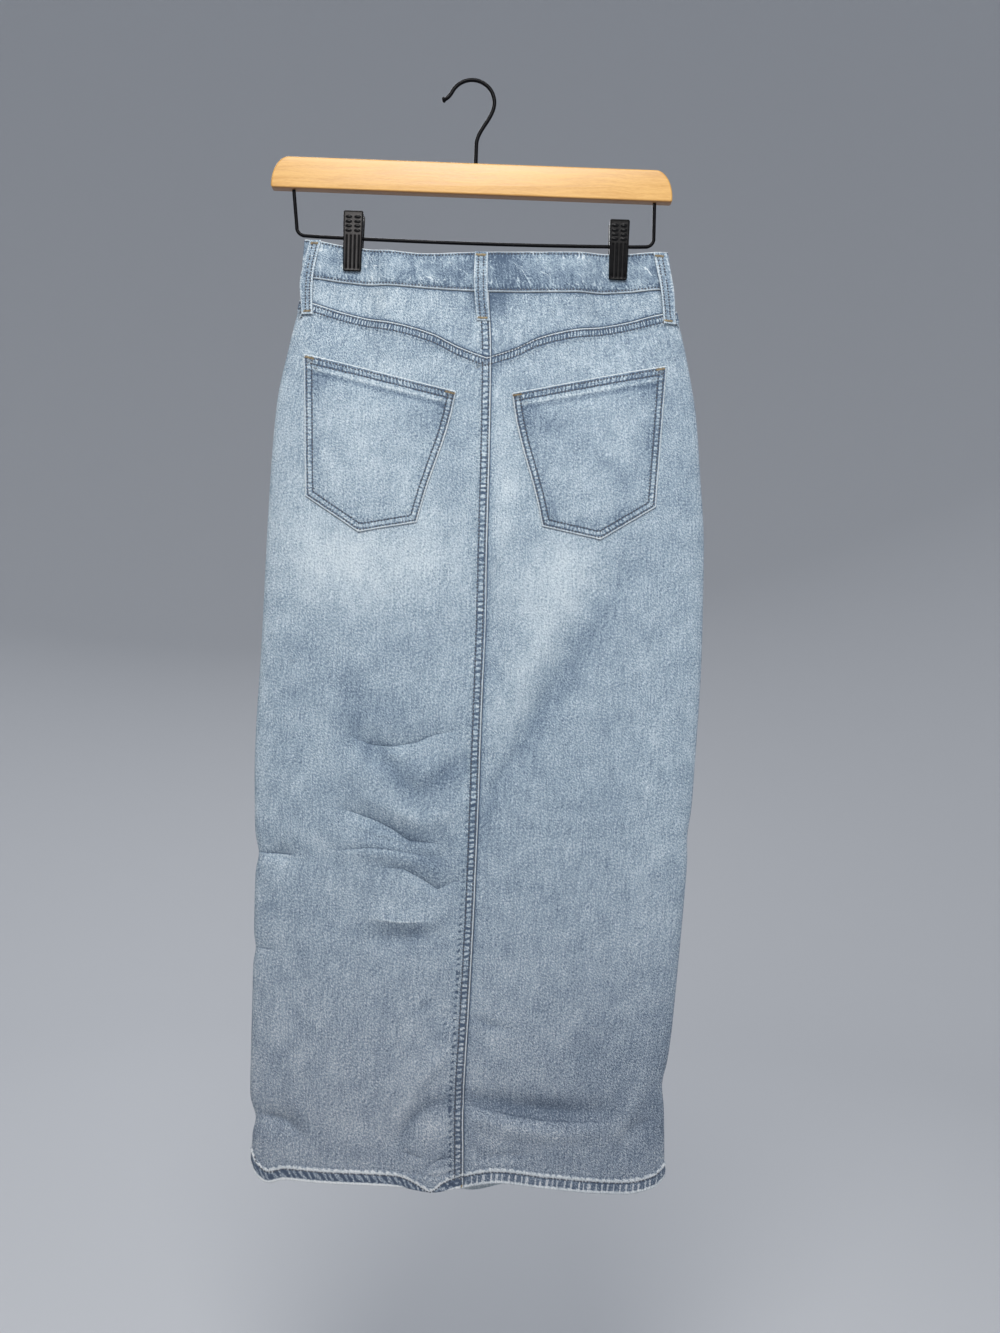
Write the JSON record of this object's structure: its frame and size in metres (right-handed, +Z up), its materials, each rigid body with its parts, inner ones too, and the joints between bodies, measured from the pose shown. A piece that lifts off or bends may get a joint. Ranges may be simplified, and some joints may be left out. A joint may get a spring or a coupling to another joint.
{
  "type": "denim skirt on clip hanger",
  "caption": "Long straight denim skirt with back yoke, patch pockets and belt loops, held by the waistband in the clips of a wooden hanger with a wire hook.",
  "frame": {"origin": "the point under the crown of the wire hook where it bears on what it hangs from", "axes": "+Z up through the hook; the skirt's back and its pockets face -Y, its front faces +Y; +X runs along the hanger to the right as the back is seen"},
  "size_m": [0.423, 0.046, 1.061],
  "materials": {
    "denim": "light washed twill, matte",
    "band_denim": "washed twill with pale crackle, matte",
    "pocket_denim": "light washed twill with worn edges, matte",
    "loop_denim": "washed twill strap with pale edges, matte",
    "button": "antique, satin",
    "wood": "clear satin lacquer",
    "wire": "black enamel, satin",
    "plastic": "black, satin"
  },
  "bodies": {
    "root": {"back_panel_left": "denim", "back_panel_right": "denim", "back_yoke_left": "denim", "back_yoke_right": "denim", "front_panel_left": "denim", "front_panel_right": "denim", "waistband_back": "band_denim", "waistband_front_left": "band_denim", "waistband_front_right": "band_denim", "back_pocket_left": "pocket_denim", "back_pocket_right": "pocket_denim", "belt_loop_back_left": "loop_denim", "belt_loop_back_centre": "loop_denim", "belt_loop_back_right": "loop_denim", "belt_loop_front_left": "loop_denim", "belt_loop_front_right": "loop_denim", "waist_button": "button", "hanger_bar": "wood", "hanger_hook": "wire", "hanger_rail": "wire", "clip_left_jaw_back": "plastic", "clip_left_jaw_front": "plastic", "clip_left_spring": "wire", "clip_right_jaw_back": "plastic", "clip_right_jaw_front": "plastic", "clip_right_spring": "wire"}
  },
  "joints": []
}
